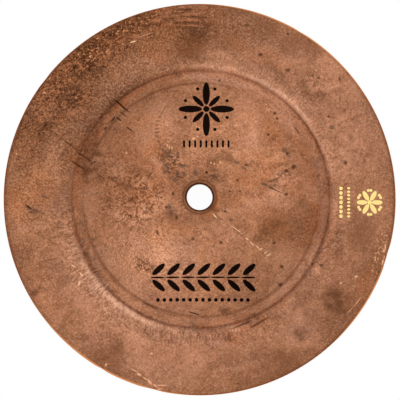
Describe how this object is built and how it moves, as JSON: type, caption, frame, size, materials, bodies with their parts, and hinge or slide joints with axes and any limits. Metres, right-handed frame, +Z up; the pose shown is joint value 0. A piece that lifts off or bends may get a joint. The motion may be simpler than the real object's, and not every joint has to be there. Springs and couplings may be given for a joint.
{
  "type": "bell cymbal",
  "caption": "Small heavy bell cymbal: a wide pressed cup with a stepped shoulder, a narrow nearly flat brim, and a central hole for a stand's rod.",
  "frame": {"origin": "middle of the circle that the brim's edge rests on, straight under the hole", "axes": "+Z up along the hole's axis, towards the crown of the cup; +X to the right and +Y to the top as the bell is pictured, which its round shape doesn't tell apart"},
  "size_m": [0.1778, 0.1778, 0.0223],
  "materials": {
    "raw_bronze": "raw, unlathed and lightly oxidised"
  },
  "bodies": {
    "root": {"bell_cymbal": "raw_bronze"}
  },
  "joints": []
}
